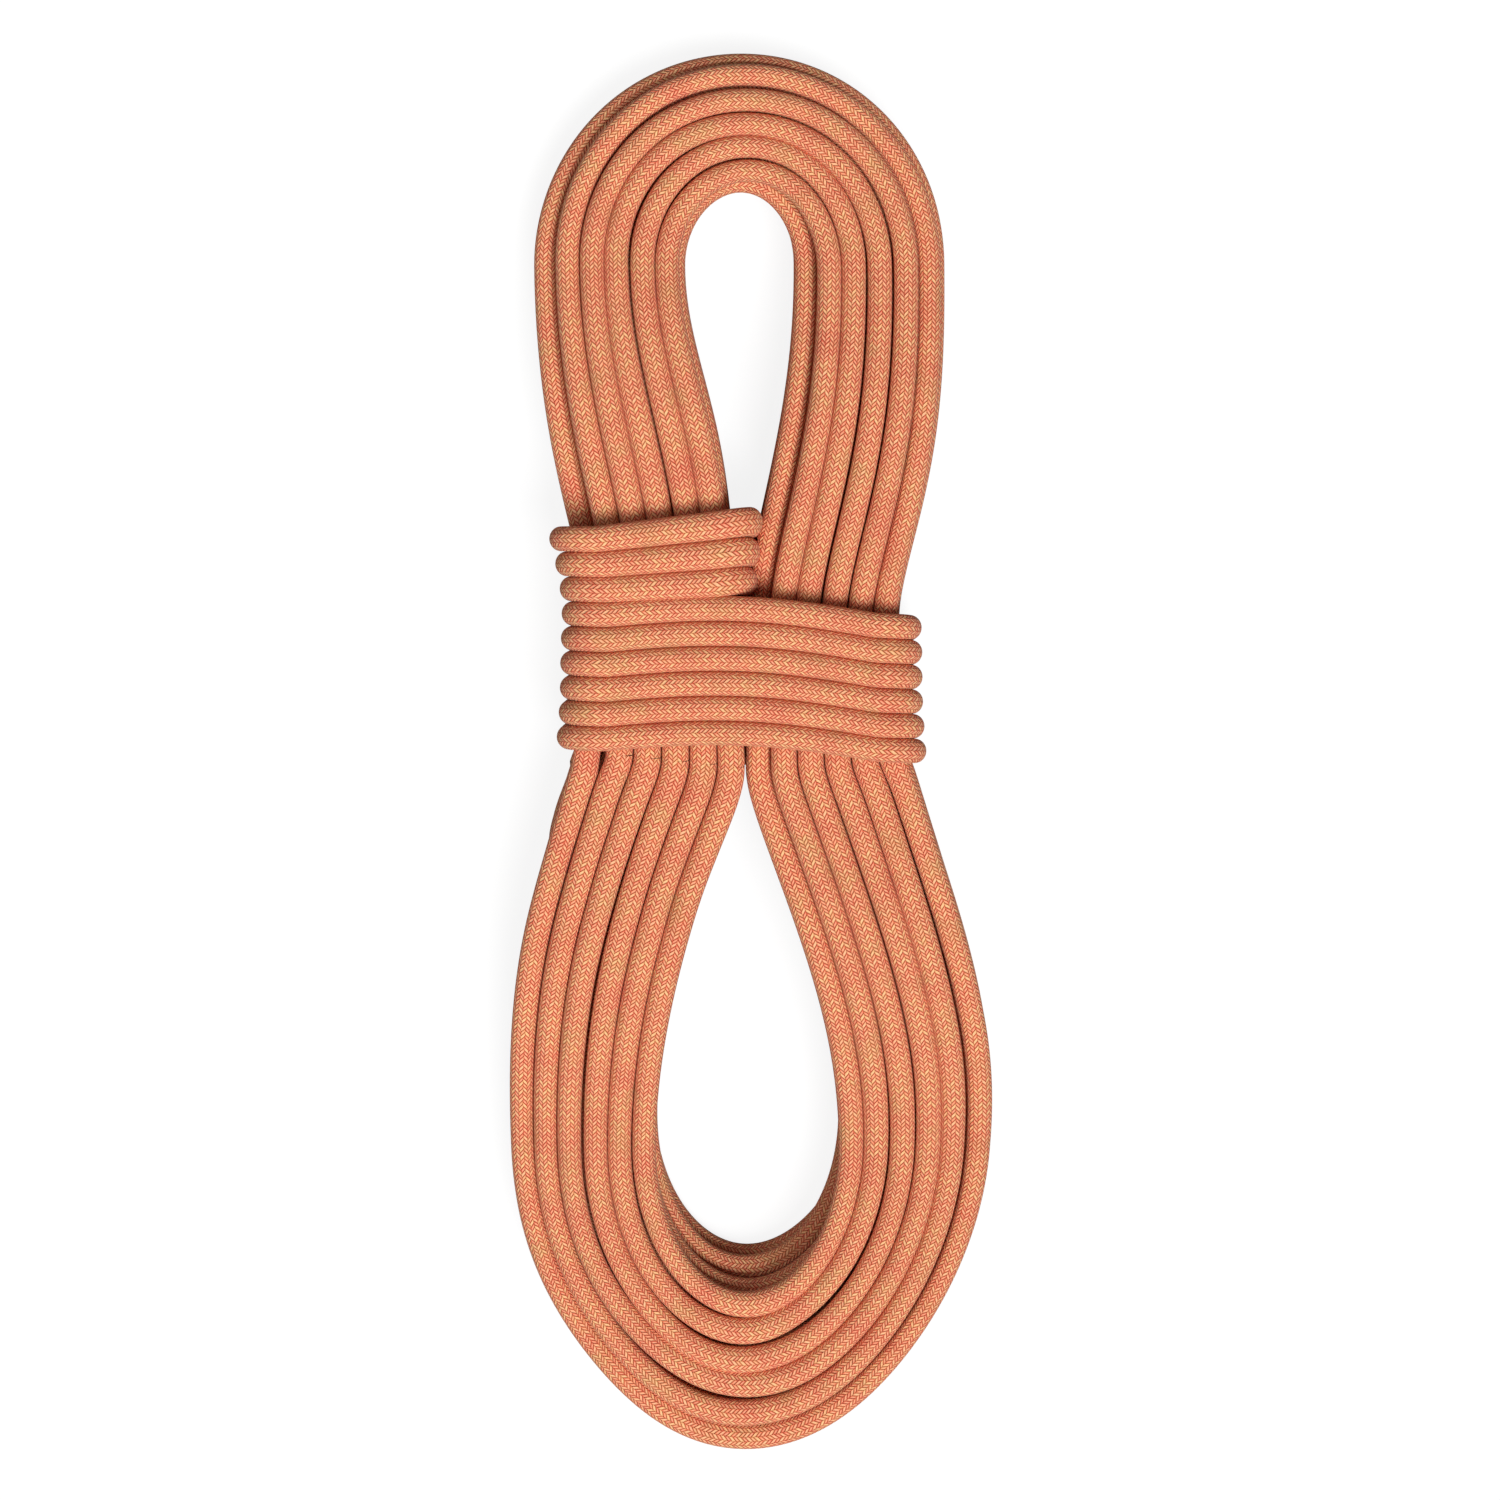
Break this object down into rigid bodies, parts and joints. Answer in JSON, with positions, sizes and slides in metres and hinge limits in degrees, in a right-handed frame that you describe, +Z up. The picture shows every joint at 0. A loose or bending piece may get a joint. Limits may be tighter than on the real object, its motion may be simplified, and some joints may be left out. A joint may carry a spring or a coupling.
{
  "type": "dynamic climbing rope",
  "caption": "Dynamic climbing rope, woven sheath over core strands, coiled into a long flat hank with an eye at each end and held by wraps round its waist.",
  "frame": {"origin": "on the ground, under the middle of the hank's outline", "axes": "+X across the hank to the right in the picture, +Y along the hank from the bottom bend to the top bend, +Z up off the ground, through the hank's thickness"},
  "size_m": [0.197, 0.5796, 0.065],
  "materials": {
    "rope_sheath": "woven polyamide yarns, heathered orange, tan and pink-red, matt",
    "core_strands": "white twisted polyamide strands, hidden inside the sheath",
    "fused_tip": "sheath and core melted together, smooth, dull, darker than the rope"
  },
  "bodies": {
    "root": {"hank_loops": "rope_sheath", "wrap_link": "rope_sheath", "waist_wraps": "rope_sheath", "tail_run": "rope_sheath", "start_sheath": "rope_sheath", "start_core": "core_strands", "start_tip": "fused_tip", "tail_sheath": "rope_sheath", "tail_core": "core_strands", "tail_tip": "fused_tip"}
  },
  "joints": []
}
